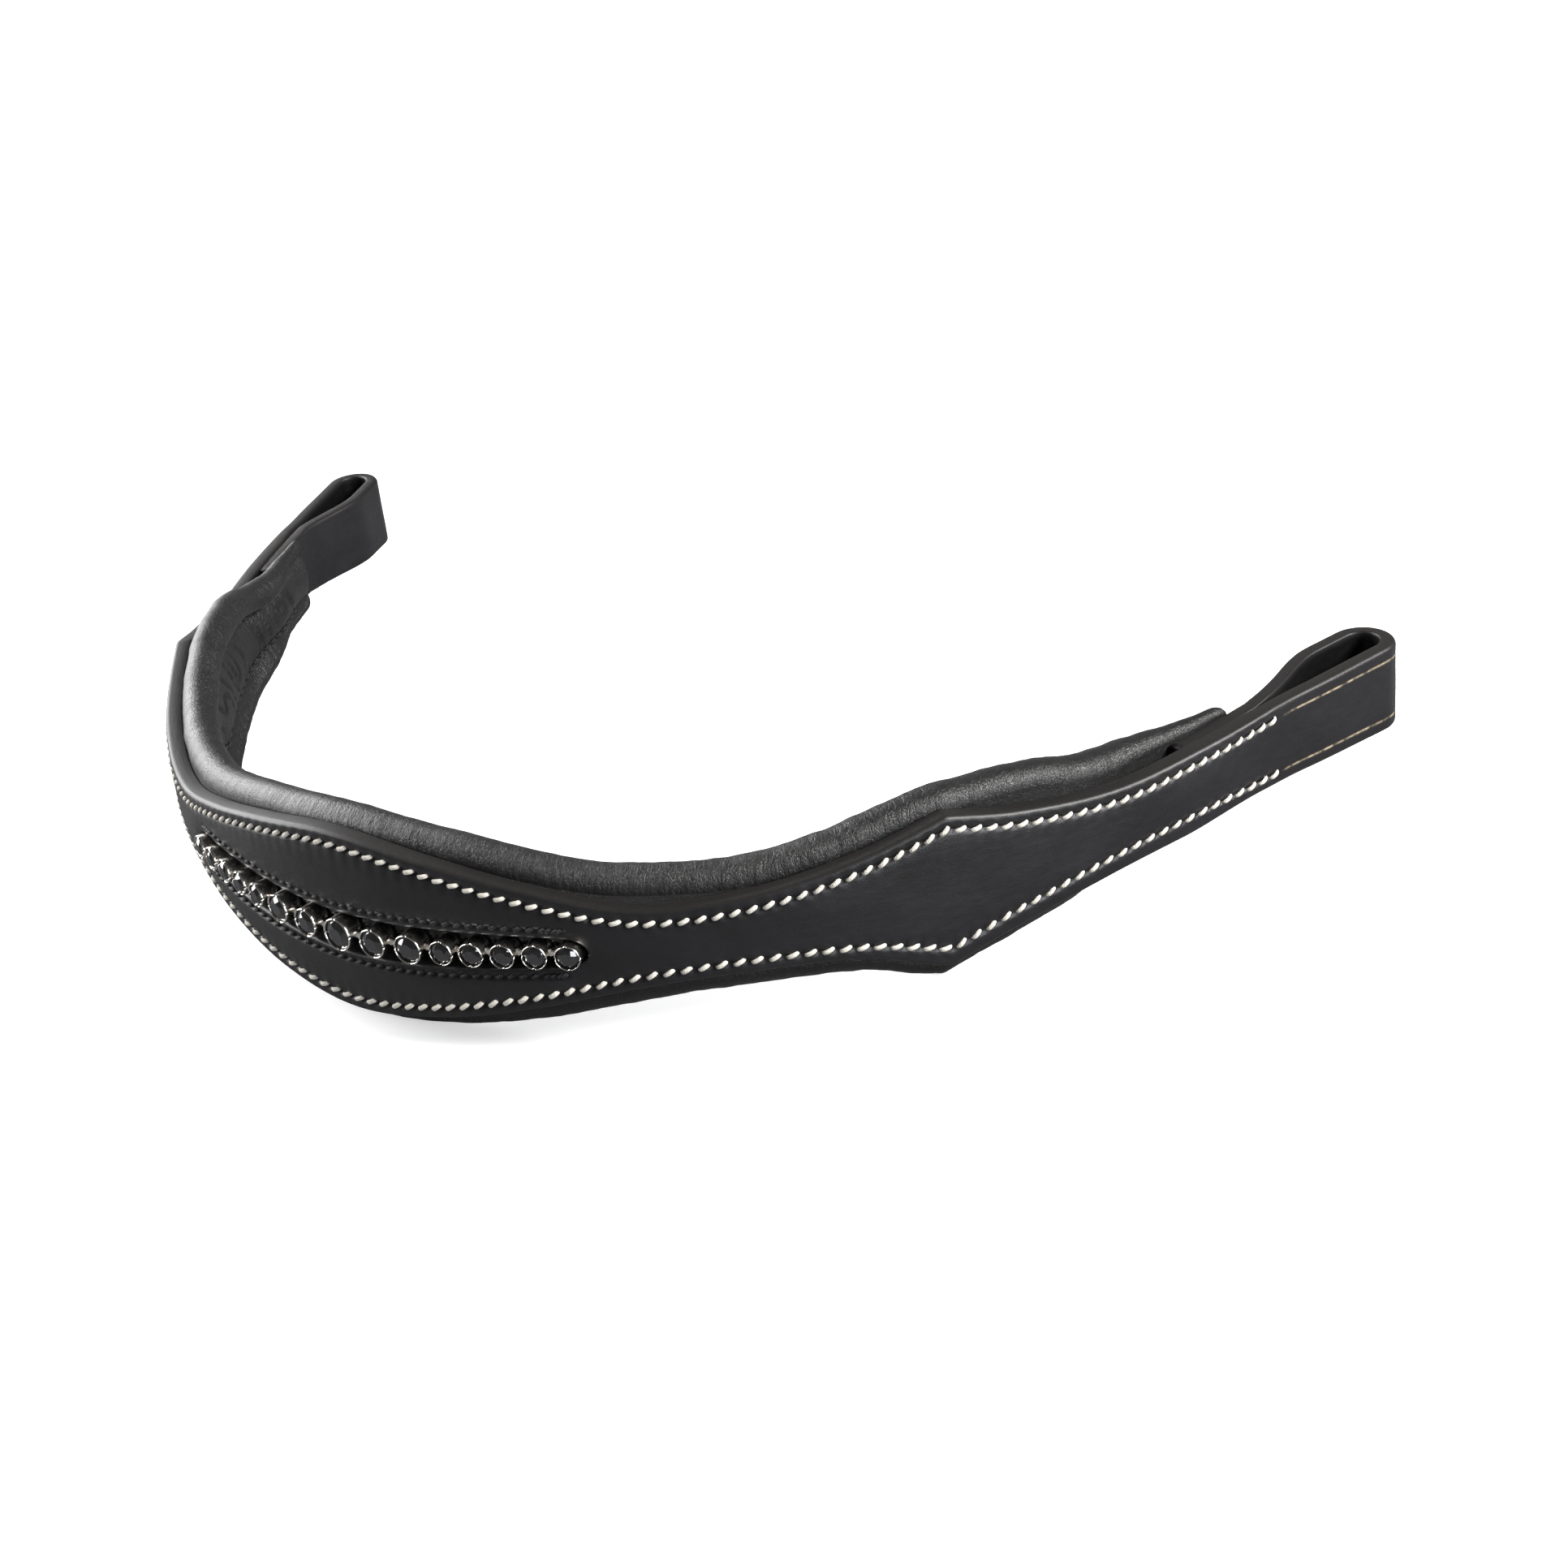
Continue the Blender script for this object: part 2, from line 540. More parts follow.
# end loops: rows of the strap's end carried round the loop's line
loop_r, loop_a = (loop_w - loop_t) / 2, loop_len - loop_w / 2
tab_n = -strap_t - gap - loop_t / 2
deep = -loop_t / 2 - 2 * loop_r - tab_n
line = [(a, -loop_t / 2, 0.0) for a in np.arange(0.9, loop_a - 0.5, 0.9)]
line += [(loop_a + loop_r * math.sin(d), -loop_t / 2 - loop_r * (1 - math.cos(d)), d)
    for d in np.radians(np.arange(0, 181, 6))]
reach = 0.74 * (loop_a + 1)
for a in np.arange(loop_a - 1, 1.9, -1.0):
    u = (a + 1) / reach
    line.append((a, tab_n + deep * float(ease(u)),
        math.pi - math.atan(deep * (6 * u * (1 - u) if u < 1 else 0) / reach)))
line = np.array(line)
tab_s = np.arange(half_len - 1.5, tab_end - 0.01, -1.5)
dd = Z[-1] - bot_z(half_len)
height = float(top_z(half_len) - bot_z(half_len))
de1 = np.minimum(dd, height - dd)


def loop_part(side):
    """Front and back rows of one end loop, from the strap's end round to the end of the folded-back leg."""
    A, B_, Dr = line[:, 0:1], line[:, 1:2], line[:, 2:3]
    n0 = arris(de1, 0.9)[None] + 0 * A
    path = np.r_[0, np.cumsum(np.hypot(np.diff(line[:, 0]), np.diff(line[:, 1])))][:, None]
    crease = np.maximum(np.exp(-((dd - 2.52) / 0.16)**2), np.exp(-((height - dd - 2.52) / 0.16)**2))[None] + 0 * A
    end = loop_a + 5.0
    shown = ease((A[:, 0:1] - 2.2) / 1.5) * np.where(path < end - 1.4, 1.0, np.maximum(0, 1 - (path - end + 1.4)))
    crease = crease * shown
    wob = nz_grid(path / 9.0 + side * 40, dd[None] / 6.0, 5.5) * 0.08 * ease(path / 6)
    o = loop_t / 2 + n0 - 0.12 * crease + wob
    bk = -loop_t / 2 - arris(de1, 0.45)[None] + 0 * A
    ex, ey = flat(np.array(half_len), 0)

    def put(off):
        rise = dd[None] / height
        a, b = (A + off * np.sin(Dr)) * (1.035 - 0.035 * rise), B_ + off * np.cos(Dr)
        t = float(turn(half_len)) - loop_flare * ease(np.maximum(A, 0) / 12)
        x, y = ex + a * np.cos(t) + b * np.sin(t), ey + a * np.sin(t) - b * np.cos(t)
        return stand(side * x, y, float(bot_z(half_len)) + dd[None] + loop_rise * (0.6 + 0.4 * rise) * A)
    f, k = put(o), put(bk)
    T = tab_s[:, None]
    zz = bot_z(T) + 0.4 + dd[None] * (top_z(T) - bot_z(T) - 0.8) / height
    tf = pt(side * T, tab_n - (loop_t / 2 + arris(de1, 0.7)[None]), zz)
    tb = pt(side * T, tab_n + loop_t / 2 + arris(de1, 0.3)[None], zz)
    f, k = np.concatenate([f, tf]), np.concatenate([k, tb])
    mf = np.zeros(f.shape[:2] + (4,)); mf[..., 3] = 1
    mf[..., 0] = (1 - ease((de1 - 0.1) / 0.7))[None]
    mf[:len(line), :, 2] = crease
    mb = mf.copy(); mb[..., 2] = 0
    mb[:, :, 1] = 0.9 * ease((de1 - 0.6) / 0.8)[None]
    along = np.r_[half_len + path[:, 0], half_len + path[-1, 0] + half_len - tab_s]
    aa = np.stack(np.broadcast_arrays(side * along[:, None], Z[-1][None], 0.0), -1)
    return f, k, mf, mb, aa, aa + np.array([0, 0, 9.0])


R_, L_ = loop_part(1), loop_part(-1)
Fr = np.concatenate([L_[0][::-1], F3, R_[0]])
Bk = np.concatenate([L_[1][::-1], B3, R_[1]])
MF = np.concatenate([L_[2][::-1], mask_f, R_[2]])
MB = np.concatenate([L_[3][::-1], mask_b, R_[3]])
AF = np.concatenate([L_[4][::-1], al_f, R_[4]])
AB = np.concatenate([L_[5][::-1], al_b, R_[5]])
off = len(L_[0])
nst = len(Fr)
verts = np.concatenate([Fr, Bk], 1).reshape(-1, 3)
W2 = 2 * M
open_at = np.zeros(nst, bool)
open_at[off:off + len(ss)] = w > 1e-6
faces = []
for i in range(nst - 1):
    a, b = i * W2, (i + 1) * W2
    for j in range(M - 1):
        if j == half - 1:
            if open_at[i] or open_at[i + 1]:
                continue
        faces.append((a + j, b + j, b + j + 1, a + j + 1))
        faces.append((a + M + j, a + M + j + 1, b + M + j + 1, b + M + j))
    faces.append((a, a + M, b + M, b))
    faces.append((a + M - 1, b + M - 1, b + W2 - 1, a + W2 - 1))
    if open_at[i] or open_at[i + 1]:
        for j, flip in ((half - 1, False), (half, True)):
            f = (a + j, b + j, b + M + j, a + M + j)
            faces.append(f[::-1] if flip else f)
for i in (0, nst - 1):
    a = i * W2
    for j in range(M - 1):
        f = (a + j, a + j + 1, a + M + j + 1, a + M + j)
        faces.append(f if i == 0 else f[::-1])
strap = obj("front_leather", verts, faces, LEATHER, attrs={
    "mask": np.concatenate([MF, MB], 1).reshape(-1, 4), "along": np.concatenate([AF, AB], 1).reshape(-1, 3)})


def weld(o, dist=1e-6):
    bm = bmesh.new()
    bm.from_mesh(o.data)
    bmesh.ops.remove_doubles(bm, verts=bm.verts, dist=dist)
    bmesh.ops.dissolve_degenerate(bm, edges=bm.edges, dist=1e-7)
    bmesh.ops.recalc_face_normals(bm, faces=bm.faces)
    bm.to_mesh(o.data)
    bm.free()


weld(strap, 2e-6)
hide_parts("front_strap", "right_loop", "left_loop")


# ------------------------------------------------------------------ stitches
def stitches(name, at, fn, pitch, mat, nodes, slot_name, face, width, high, slant, sink=0.3, seed=0.0, part=0.80):
    """One rounded stitch at each place: it lies slanted in the seam and dives into the holes at its ends."""
    V, Fc, AL = [], [], []
    nu, nr = 9, 10
    for k, s0 in enumerate(at):
        e = 0.4
        n0 = face(s0)
        P = pt(np.array(s0), n0, fn(np.array(s0)))
        T = pt(np.array(s0 + e), n0, fn(np.array(s0 + e))) - pt(np.array(s0 - e), n0, fn(np.array(s0 - e)))
        T /= np.linalg.norm(T)
        N = pt(np.array(s0), n0 + 1, fn(np.array(s0))) - P
        N /= np.linalg.norm(N)
        if face(0.0) < -1:
            N = -N
        U = np.cross(N, T)
        if U[2] < 0:
            U = -U
        j1, j2, j3 = nz(k * 1.7, seed), nz(k * 1.3, seed + 9), nz(k * 2.1, seed + 5)
        a = slant + 0.12 * j1
        X = T * math.cos(a) + U * math.sin(a)
        Y = np.cross(N, X)
        ln = pitch * 0.5 * part * (1 + 0.06 * j2)
        base = len(V) * 1
        for i in range(nu):
            u = -1 + 2 * i / (nu - 1)
            prof = max(0.0, 1 - abs(u)**3.2)**0.5
            rad = width / 2 * (0.28 + 0.72 * prof) * (1 + 0.08 * j3)
            hgt = high * (1 - abs(u)**2.6) - sink * abs(u)**2.6
            c = P + (X * (u * ln) + N * hgt) / 1000
            for r in range(nr):
                th = 2 * math.pi * r / nr
                V.append(c + (Y * math.cos(th) * rad + N * math.sin(th) * rad * 0.72) / 1000)
                AL.append((k * 7.3 + u * ln * 2.2, th * 0.9, seed))
        for i in range(nu - 1):
            for r in range(nr):
                r2 = (r + 1) % nr
                Fc.append((base + i * nr + r, base + i * nr + r2, base + (i + 1) * nr + r2,
                    base + (i + 1) * nr + r))
        Fc.append(tuple(base + r for r in range(nr - 1, -1, -1)))
        Fc.append(tuple(base + (nu - 1) * nr + r for r in range(nr)))
    o = obj(name, V, Fc, mat, attrs={"along": np.array(AL)})
    fix_normals(o)
    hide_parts(*nodes)
    return o


def front_face(s): return -0.12


# the face they lie on, then width, height and slant
WHITE_SIZE = (front_face, 0.92, 0.30, 0.42)
WINDOW_SIZE = (front_face, 0.9, 0.3, 0.40)
WINDOW_PITCH = 2.35
stitches("upper_white_stitches", up_stitch, hi, UP_PITCH, WHITE, ["upper_white_thread"], "white_thread",
    *WHITE_SIZE, seed=1.0, part=0.88)
stitches("lower_white_stitches", lo_stitch, lo, LO_PITCH, WHITE, ["lower_white_thread"], "white_thread",
    *WHITE_SIZE, seed=2.0, part=0.88)
win_at = np.arange(-45.8, 45.9, WINDOW_PITCH)
tack = np.array([-46.6, -44.6, 44.6, 46.6])
stitches("upper_window_stitches", np.r_[win_at, tack], above, WINDOW_PITCH, BLACK, ["upper_window_thread"],
    "black_thread", *WINDOW_SIZE, seed=3.0)
stitches("lower_window_stitches", np.r_[win_at, tack], below, WINDOW_PITCH, BLACK, ["lower_window_thread"],
    "black_thread", *WINDOW_SIZE, seed=4.0)


# ------------------------------------------------------------------ padding
def profile(s):
    """Cross-section of the padding at arc length s: points (n, z, mask) round it, starting at the front."""
    f, g_ = float(pad_front(s)), float(seam_n(s))
    z1, z0, h, l = float(roll_z1(s)), float(roll_z0(s)), float(hi(s)), float(lo(s))
    P = []

    def arc(zc, sg, r):
        pts = []
        for d in np.linspace(-8, 214, 34):
            d = math.radians(d)
            pts.append((f - r + r * math.cos(d), zc + sg * r * math.sin(d), 0.0))
        return pts
    up = arc(z1, 1, float(roll(s)))
    dn = arc(z0, -1, float(roll_low(s)))
    last = up[-1]
    c1 = [(last[0] + (g_ - last[0]) * t**0.8, last[1] + (h + 0.35 - last[1]) * t, ease((t - 0.5) * 2))
        for t in (0.3, 0.55, 0.78, 0.92)]
    c1 += [(g_ + 0.15, h + 0.1, 1.0), (g_ + 0.15, h - 0.1, 1.0)]
    pf = float(puff(s)) + 0.25
    c2 = []
    for t in np.linspace(0, 1, 30):
        c2.append((g_ - pf * (math.sin(math.pi * t)**0.55), h - 0.35 + (l - h + 0.7) * t,
            0.0 if 0.03 < t < 0.97 else 0.7))
    last = dn[-1]
    c3 = [(last[0] + (g_ - last[0]) * t**0.8, last[1] + (l - 0.35 - last[1]) * t, ease((t - 0.5) * 2))
        for t in (0.3, 0.55, 0.78, 0.92)]
    c3 += [(g_ + 0.15, l - 0.1, 1.0), (g_ + 0.15, l + 0.1, 1.0)]
    P = up + c1 + c2 + c3[::-1] + dn[::-1]
    zf0, zf1 = dn[0][1], up[0][1]
    for t in (0.12, 0.3, 0.5, 0.7, 0.88):
        P.append((f, zf0 + (zf1 - zf0) * t, 0.0))
    return np.array(P)


ps = np.arange(-182, 182.01, 0.65)
PR = np.array([profile(s) for s in ps])
m = PR.shape[1]
# lengths round the section
per = np.concatenate([np.zeros((len(ps), 1)),
    np.cumsum(np.hypot(np.diff(PR[:, :, 0], axis=1), np.diff(PR[:, :, 1], axis=1)), 1)], 1)
nrm = np.stack([-(np.roll(PR[:, :, 1], -1, 1) - np.roll(PR[:, :, 1], 1, 1)),
    np.roll(PR[:, :, 0], -1, 1) - np.roll(PR[:, :, 0], 1, 1)], -1)
nrm /= np.linalg.norm(nrm, axis=-1, keepdims=True) + 1e-9
nrm = -nrm
idx = np.arange(m)
n_up, n_c1, n_c2 = 34, 6, 30
is_panel = (idx >= n_up + n_c1) & (idx < n_up + n_c1 + n_c2)
is_roll = (idx < n_up) | ((idx >= n_up + 2 * n_c1 + n_c2) & (idx < 2 * n_up + 2 * n_c1 + n_c2))
PS = np.repeat(ps[:, None], m, 1)
wrink = nz_grid(PS / 2.1, per / 7.0, 1.3) * 0.10 + nz_grid(PS / 5.5, per / 9.0, 4.2) * 0.16 + nz_grid(PS / 1.2,
    per / 3.0, 8.8) * 0.035
bend = ease((np.abs(PS) - 20) / 60)
amp = np.where(is_roll[None], 0.55 + 0.6 * bend, 0.0)
t_pan = np.clip((idx - n_up - n_c1) / (n_c2 - 1.0), 0, 1)
soft = np.where(is_panel, np.sin(np.pi * t_pan), 0)[None]
diag = nz_grid(PS / 4.6 + per * 0.16, per / 16.0 - PS * 0.02, 2.2)
crease = -0.75 * np.maximum(0, 1 - np.abs(diag) / 0.16)**1.5 * soft**0.8 + 0.55 * nz_grid(PS / 9.0 + per * 0.08,
    per / 10.0, 6.1) * soft
fade = ease((181 - np.abs(PS)) / 8)
disp = (wrink * amp + crease * 0.8) * fade
Nn, Zz = PR[:, :, 0] + nrm[:, :, 0] * disp, PR[:, :, 1] + nrm[:, :, 1] * disp
# the ends close in a rounded tip
tip = np.clip((np.abs(ps) - 178.8) / 3.3, 0, 1)
k_end = np.sqrt(np.maximum(0.0, 1 - tip**2))[:, None]
cz = (PR[:, :, 1].max(1) + PR[:, :, 1].min(1))[:, None] / 2
fn_ = pad_front(ps)[:, None]
Nn = fn_ + (Nn - fn_) * (0.35 + 0.65 * k_end)
Zz = cz + (Zz - cz) * (0.8 + 0.2 * k_end)
V = pt(PS, Nn, Zz)
F = [tuple(r) for r in strip(len(ps), m)]
F.append(tuple(range(m)))
F.append(tuple((len(ps) - 1) * m + j for j in range(m - 1, -1, -1)))
mk = np.zeros((len(ps), m, 4)); mk[..., 3] = 1; mk[..., 1] = PR[:, :, 2] * 0.8
lining = obj("lining_skin", V, F, SOFT,
    attrs={"mask": mk.reshape(-1, 4), "along": np.stack([PS, per, 0 * per], -1).reshape(-1, 3)})
fix_normals(lining)
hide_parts("lining")

# foam core inside it
fs = ps[::4]
fp = PR[::4][:, ::2]
cZ = cz[::4]
cen_n = (fp[:, :, 0].max(1) + fp[:, :, 0].min(1))[:, None] / 2
Nf2 = cen_n + (fp[:, :, 0] - cen_n) * 0.62
Zf2 = cZ + (fp[:, :, 1] - cZ) * 0.86
# the foam stays in front of the two stitched valleys
near_seam = np.minimum(np.abs(Zf2 - hi(fs)[:, None]), np.abs(Zf2 - lo(fs)[:, None])) < 5.0
Nf2 = np.where(near_seam, np.maximum(Nf2, seam_n(fs)[:, None] + 1.4), Nf2)
keep = np.abs(fs) < 172
Vf = pt(np.repeat(fs[keep][:, None], fp.shape[1], 1), Nf2[keep], Zf2[keep])
Ff = [tuple(r) for r in strip(int(keep.sum()), fp.shape[1])]
Ff.append(tuple(range(fp.shape[1])))
Ff.append(tuple((int(keep.sum()) - 1) * fp.shape[1] + j for j in range(fp.shape[1] - 1, -1, -1)))
core = obj("padding_core", Vf, Ff, FOAM,
    attrs={"along": np.stack([np.repeat(fs[keep][:, None], fp.shape[1], 1), fp[keep][:, :, 1], fp[keep][:, :, 0]],
    -1).reshape(-1, 3)})
fix_normals(core)
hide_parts("foam_core")

back_at_u = seam_s(hi, np.arange(-180, 180.1, 3.0))
back_at_l = seam_s(lo, np.arange(-180, 180.1, 3.1))


def back_face(s): return float(seam_n(s)) + 0.05


stitches("upper_back_stitches", back_at_u[np.abs(back_at_u) < 172], hi, 3.0, BLACK, ["upper_back_thread"],
    "black_thread", back_face, 0.9, 0.42, -0.3, seed=5.0)
stitches("lower_back_stitches", back_at_l[np.abs(back_at_l) < 172], lo, 3.1, BLACK, ["lower_back_thread"],
    "black_thread", back_face, 0.9, 0.42, -0.3, seed=6.0)

# ------------------------------------------------------------------ patent panel
iq = np.unique(np.round(np.r_[np.arange(-49, 49.01, 0.7),
    [v * q for v in (-1, 1) for q in (49.4, 49.8, 50.1, 50.4)]], 3))
vv = np.linspace(-1, 1, 25)
hw = window_half_h(iq) - 0.3
Zi = window_mid(iq)[:, None] + hw[:, None] * vv[None]
Si = np.repeat(iq[:, None], len(vv), 1)
bul = 0.55 * np.sqrt(np.maximum(0, 1 - vv[None]**2)) + nz_grid(Si / 3.5, Zi / 3.5, 2.0) * 0.14 * (1 - vv[None]**4)
ftop = inlay_top - 0.5 + bul
fback = -strap_t - gap
ring = []
for i in range(len(iq)):
    r_ = [(ftop[i, j], Zi[i, j]) for j in range(len(vv))]
    w_ = hw[i] + 2.4
    c_ = float(window_mid(iq[i]))
    r_ += [(fback, c_ + hw[i]), (fback, c_ + w_), (fback - 0.8, c_ + w_), (fback - 0.8, c_ - w_), (fback, c_ - w_),
        (fback, c_ - hw[i])]
    ring.append(r_)
ring = np.array(ring)
Vi = pt(np.repeat(iq[:, None], ring.shape[1], 1), ring[:, :, 0], ring[:, :, 1])
Fi = [tuple(r) for r in strip(len(iq), ring.shape[1])]
Fi.append(tuple(range(ring.shape[1])))
Fi.append(tuple((len(iq) - 1) * ring.shape[1] + j for j in range(ring.shape[1] - 1, -1, -1)))
inlay = obj("patent_panel", Vi, Fi, PATENT,
    attrs={"along": np.stack([np.repeat(iq[:, None], ring.shape[1], 1), ring[:, :, 1], ring[:, :, 0]],
    -1).reshape(-1, 3)})
fix_normals(inlay)
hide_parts("inlay_panel")


# ------------------------------------------------------------------ cups, stones and links
def cup_r(k): return 3.35 if k == 0 else 2.95 if abs(k) <= 2 else 2.45
def cup_gap(k): return 2.2 if k <= 1 else 1.7 if k == 2 else 1.2
def cup_s(k): return 0.0 if k <= 0 else cup_s(k - 1) + cup_r(k - 1) + cup_r(k) + cup_gap(k - 1)
def chain_s(k): return math.copysign(cup_s(abs(k)), k)


cup_back = inlay_top + 0.02


def local(s, n, z):
    """Matrix-like basis at a place on the band: x along it, y up it, z out of it."""
    P = pt(np.array(float(s)), n, z)
    X = pt(np.array(s + 0.01), n, z) - pt(np.array(s - 0.01), n, z)
    X /= np.linalg.norm(X)
    O = pt(np.array(float(s)), n + 1.0, z) - P
    O /= np.linalg.norm(O)
    Y = np.cross(O, X)
    return P, X, Y / np.linalg.norm(Y), O


def setting(k):
    s = chain_s(k)
    P, X, Y, O = local(s, cup_back, float(window_mid(s)))
    r = cup_r(k)
    rot = 0.5 * nz(k * 3.3, 1.1)
    na = 96
    prof = [(0.25, 0.0), (r * 0.8, 0.0), (r * 0.93, 0.12), (r * 0.985, 0.5), (r, 1.1), (r, 2.2), (r * 1.0, 3.0),
            (r * 0.995, 3.55), (r * 0.985, 3.82), (r * 0.96, cup_depth), (r * 0.93, 4.02), (r * 0.90, 3.94),
            (r * 0.882, 3.7), (r * 0.875, 2.6), (r * 0.85, 1.0), (0.25, 1.0)]
    V, AL = [], []
    for i in range(na):
        th = 2 * math.pi * i / na + rot
        c4 = abs(((th - rot) / (math.pi / 2) + 0.5) % 1 - 0.5) * (math.pi / 2) * r
        notch = math.exp(-(c4 / 0.17)**4)
        wob = 1 + 0.01 * nz(math.cos(th) * 1.5, math.sin(th) * 1.5, k)
        for (rr, h) in prof:
            drop_ = notch * max(0.0, (h - 2.9)) * 0.45
            rr2 = rr * wob
            p = P + (X * (rr2 * math.cos(th)) + Y * (rr2 * math.sin(th)) + O * (h - drop_)) / 1000
            V.append(p)
    mm = len(prof)
    F = []
    for i in range(na):
        i2 = (i + 1) % na
        for j in range(mm - 1):
            F.append((i * mm + j, i2 * mm + j, i2 * mm + j + 1, i * mm + j + 1))
    F.append(tuple(i * mm for i in range(na)))
    F.append(tuple(i * mm + mm - 1 for i in range(na - 1, -1, -1)))
    o = obj("cup_%02d" % (k + 8), V, F, METAL)
    fix_normals(o)
    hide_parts("setting_%02d" % (k + 8))


def stone(k):
    s = chain_s(k)
    P, X, Y, O = local(s, cup_back, float(window_mid(s)))
    r = cup_r(k) * 0.87 - 0.03
    rot = 1.3 * nz(k * 2.9, 4.4)
    V = []

    def ringp(n, rad, h, turn_=0.0):
        base = len(V)
        for i in range(n):
            th = 2 * math.pi * (i + turn_) / n + rot
            V.append(P + (X * (rad * math.cos(th)) + Y * (rad * math.sin(th)) + O * h) / 1000)
        return base
    z0 = cup_depth - 0.62
    b0 = ringp(16, r * 0.9, z0 - 0.35)
    g0 = ringp(16, r, z0)
    g1 = ringp(16, r, z0 + 0.12)
    m1 = ringp(8, r * 0.80, z0 + 0.52, 0.5)
    t1 = ringp(8, r * 0.52, z0 + 0.86, 0.0)
    F = [tuple(b0 + i for i in range(15, -1, -1)), tuple(t1 + i for i in range(8))]
    for i in range(16):
        j = (i + 1) % 16
        F.append((b0 + i, b0 + j, g0 + j, g0 + i))
        F.append((g0 + i, g0 + j, g1 + j, g1 + i))
    for i in range(8):
        j = (i + 1) % 8
        h = (i - 1) % 8
        F.append((g1 + 2 * i, g1 + 2 * i + 1, m1 + i))
        F.append((g1 + 2 * i + 1, g1 + (2 * i + 2) % 16, m1 + i))
        F.append((g1 + 2 * i, m1 + i, t1 + i, m1 + h))
        F.append((m1 + i, t1 + j, t1 + i))
    o = obj("crystal_%02d" % (k + 8), V, F, CRYSTAL, smooth=False)
    fix_normals(o)
    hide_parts("stone_%02d" % (k + 8))


for k in range(-7, 8):
    setting(k)
    stone(k)

V, F = [], []
for k in range(7):
    for side in (-1, 1):
        s = side * (cup_s(k) + cup_r(k) + cup_gap(k) / 2)
        P, X, Y, O = local(s, cup_back + 1.6, float(window_mid(s)))
        L = cup_gap(k) / 2 + 0.12
        base = len(V)
        nu, nr = 9, 12
        for i in range(nu):
            u = -1 + 2 * i / (nu - 1)
            wy, wz_ = 0.62 + 0.38 * u * u, 0.26 + 0.1 * u * u
            for r_ in range(nr):
                th = 2 * math.pi * r_ / nr
                c, d = math.cos(th), math.sin(th)
                V.append(P + (X * (u * L) + Y * (math.copysign(abs(c)**0.5, c) * wy * 0.9)
                    + O * (0.25 + math.copysign(abs(d)**0.5, d) * wz_)) / 1000)
        for i in range(nu - 1):
            for r_ in range(nr):
                r2 = (r_ + 1) % nr
                F.append((base + i * nr + r_, base + i * nr + r2, base + (i + 1) * nr + r2,
                    base + (i + 1) * nr + r_))
        F.append(tuple(base + r_ for r_ in range(nr - 1, -1, -1)))
        F.append(tuple(base + (nu - 1) * nr + r_ for r_ in range(nr)))
links = obj("chain_tabs", V, F, METAL)
fix_normals(links)
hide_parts("chain_links")

# ------------------------------------------------------------------ stage, light, camera
# a white floor to the camera, and a dim one to the leather, which would mirror it
fm, nt, b = material("floor", (0.9, 0.9, 0.9), 0.9, 0.0)
tc = nt.nodes.new("ShaderNodeTexCoord")
fn2 = noise_tex(nt, tc.outputs["Object"], 3.0, 2)
tone = ramp(nt, fn2.outputs["Fac"], [(0.0, (0.90, 0.90, 0.90)), (1.0, (0.905, 0.905, 0.905))]).outputs[0]
lpf = nt.nodes.new("ShaderNodeLightPath")
nt.links.new(mix(nt, lpf.outputs["Is Camera Ray"], (0.165, 0.165, 0.17), tone), b.inputs["Base Color"])
nt.links.new(mix(nt, lpf.outputs["Is Camera Ray"], (0, 0, 0), (1, 1, 1)), b.inputs["Emission Color"])
b.inputs["Emission Strength"].default_value = 0.45
floor = obj("floor", [(-6, -6, 0), (6, -6, 0), (6, 6, 0), (-6, 6, 0)], [(0, 1, 2, 3)], fm, ride=False)


def area(name, loc, target, size, size_y, power, color=(1, 1, 1)):
    l = bpy.data.lights.new(name, "AREA")
    l.shape = "RECTANGLE"
    l.size, l.size_y, l.energy, l.color = size, size_y, power, color
    o = bpy.data.objects.new(name, l)
    o.location = loc
    o.rotation_euler = (Vector(target) - Vector(loc)).to_track_quat("-Z", "Y").to_euler()
    bpy.context.collection.objects.link(o)
    return o


area("left_box", (-1.15, -0.10, 0.42), (0, 0, 0.02), 1.4, 1.0, 42)
area("right_box", (1.25, 0.34, 0.85), (0.05, 0, 0.02), 0.5, 0.5, 46, (1.0, 0.99, 0.97))
area("low_box", (1.25, -0.35, 0.30), (0, 0.02, 0.02), 0.7, 0.5, 9, (0.95, 0.97, 1.0))
area("back_box", (-0.1, 1.1, 0.9), (0, 0, 0.02), 1.0, 0.6, 1, (0.97, 0.98, 1.0))

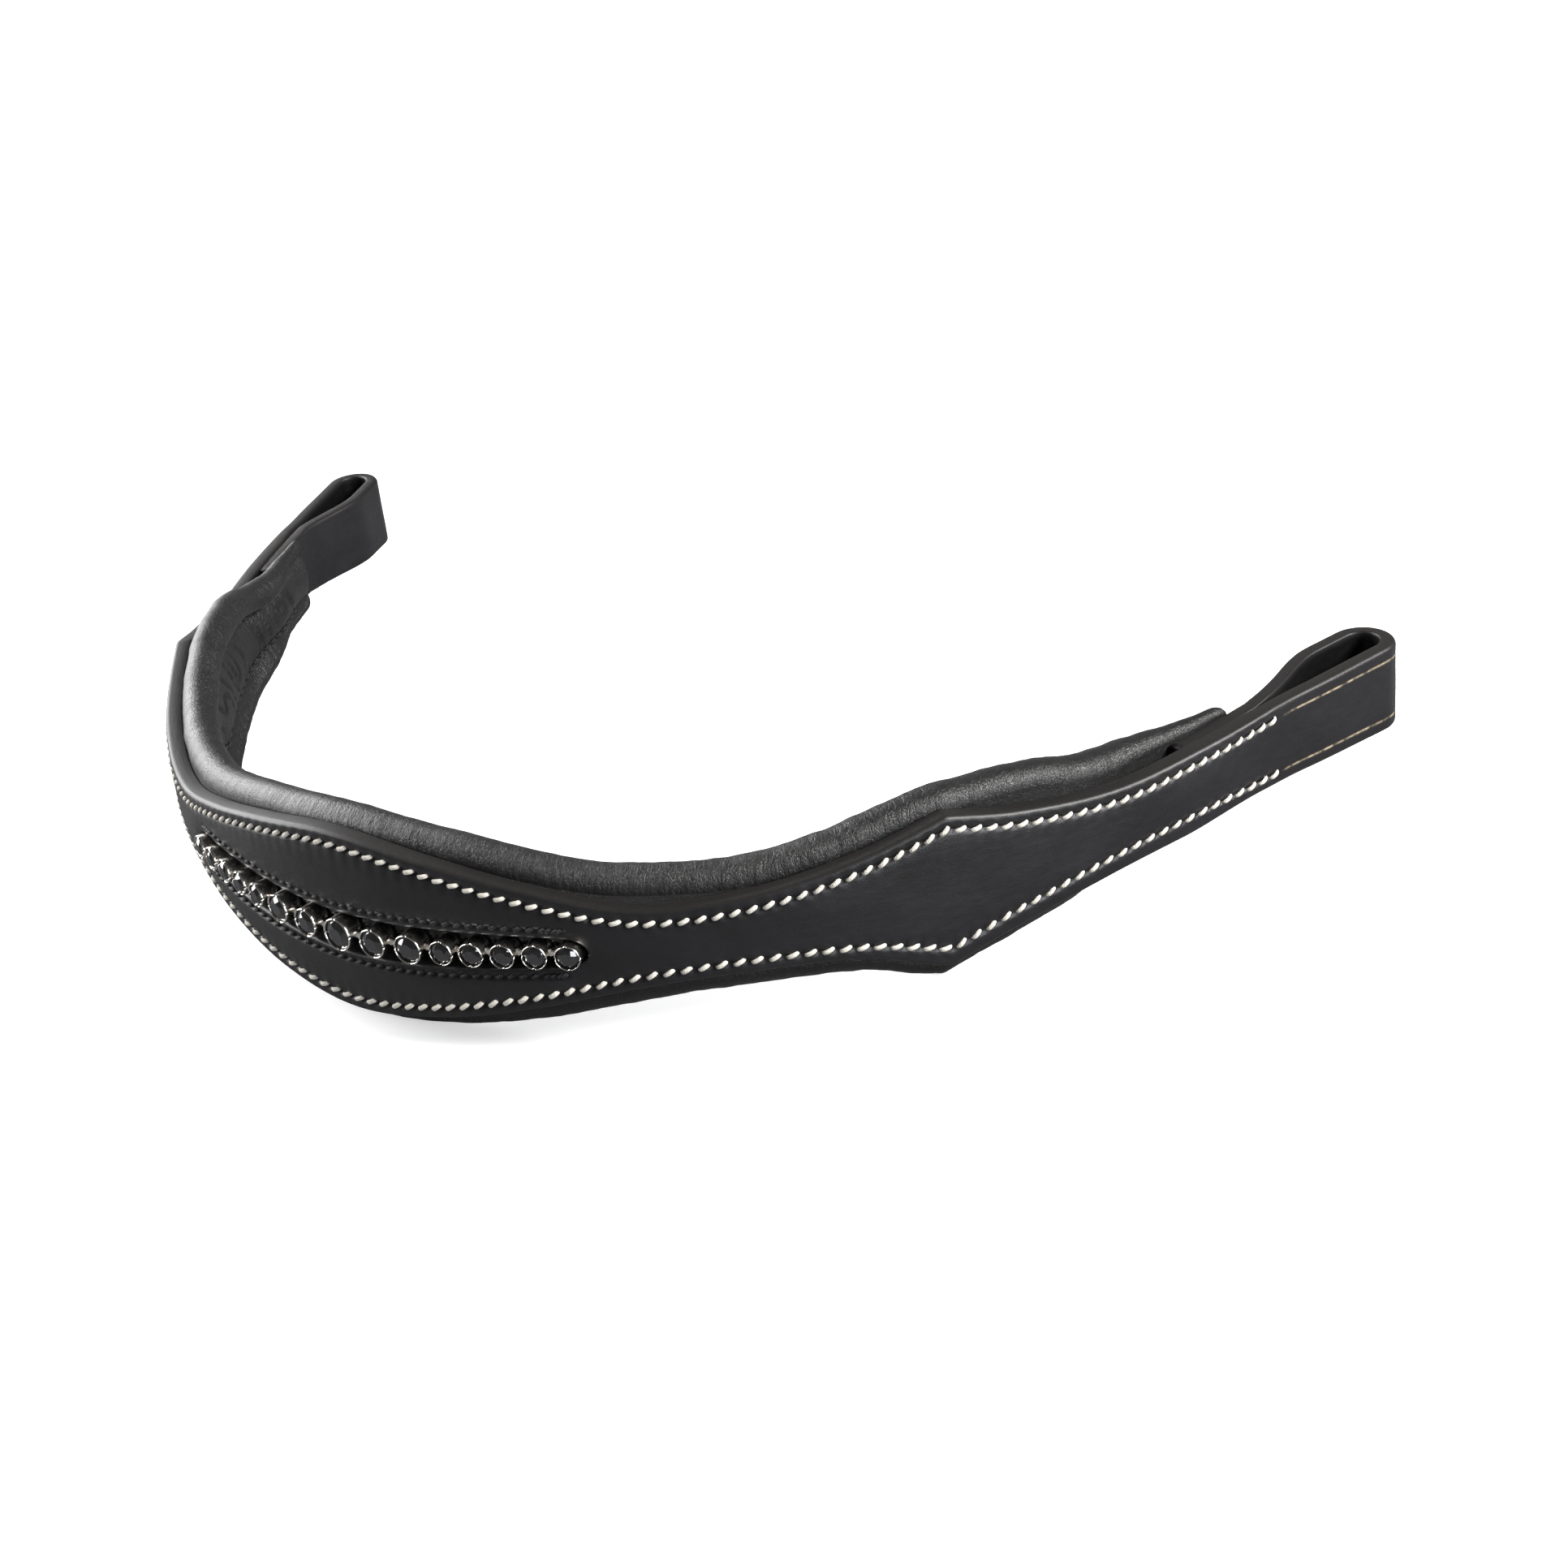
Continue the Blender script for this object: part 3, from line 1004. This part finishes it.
world = bpy.data.worlds.new("studio")
bpy.context.scene.world = world
world.use_nodes = True
nt = world.node_tree
bg = nt.nodes["Background"]
lp = nt.nodes.new("ShaderNodeLightPath")
tcw = nt.nodes.new("ShaderNodeTexCoord")
sep = nt.nodes.new("ShaderNodeSeparateXYZ")
nt.links.new(tcw.outputs["Generated"], sep.inputs[0])
up_ = ramp(nt, sep.outputs[2], [(0.0, (0.12, 0.12, 0.122)), (0.5, (0.13, 0.13, 0.132)),
    (1.0, (0.05, 0.05, 0.05))]).outputs[0]
col = mix(nt, lp.outputs["Is Camera Ray"], up_, (1.3, 1.3, 1.3))
nt.links.new(col, bg.inputs["Color"])
bg.inputs["Strength"].default_value = 1.0

cam = bpy.data.cameras.new("camera")
cam.sensor_width = 36
FRAME, FOCAL, CENTRE_X = 1932, 2616.21, 947.99
cam.lens = cam.sensor_width * FOCAL / FRAME
cam.shift_x = (FRAME / 2 - CENTRE_X) / FRAME
cam.clip_start, cam.clip_end = 0.01, 30
co = bpy.data.objects.new("camera", cam)
bpy.context.collection.objects.link(co)
# where it stands, before the band's lean: azimuth, elevation, roll, distance and the point it looks at, in mm
azimuth, elevation, roll_angle, distance = math.radians(36.69), math.radians(25.13), math.radians(-4.60), 430.02
aim = np.array([37.40, 84.31, 20.0])
bv = np.array([math.sin(azimuth) * math.cos(elevation), -math.cos(azimuth) * math.cos(elevation),
    math.sin(elevation)])
rv = np.array([math.cos(azimuth), math.sin(azimuth), 0.0])
uv = np.cross(bv, rv)
rv, uv = (rv * math.cos(roll_angle) + uv * math.sin(roll_angle),
          -rv * math.sin(roll_angle) + uv * math.cos(roll_angle))
C = aim + bv * distance


def lean(v):
    c, s = math.cos(tilt), math.sin(tilt)
    return np.array([v[0], v[1] * c + v[2] * s, v[2] * c - v[1] * s])


loc = (lean(C) + SHIFT) / 1000
rv, uv, bv = lean(rv), lean(uv), lean(bv)
co.matrix_world = Matrix(((rv[0], uv[0], bv[0], loc[0]), (rv[1], uv[1], bv[1], loc[1]),
    (rv[2], uv[2], bv[2], loc[2]), (0, 0, 0, 1)))
bpy.context.scene.camera = co
bpy.context.scene.view_settings.view_transform = "Standard"
bpy.context.scene.view_settings.look = "None"
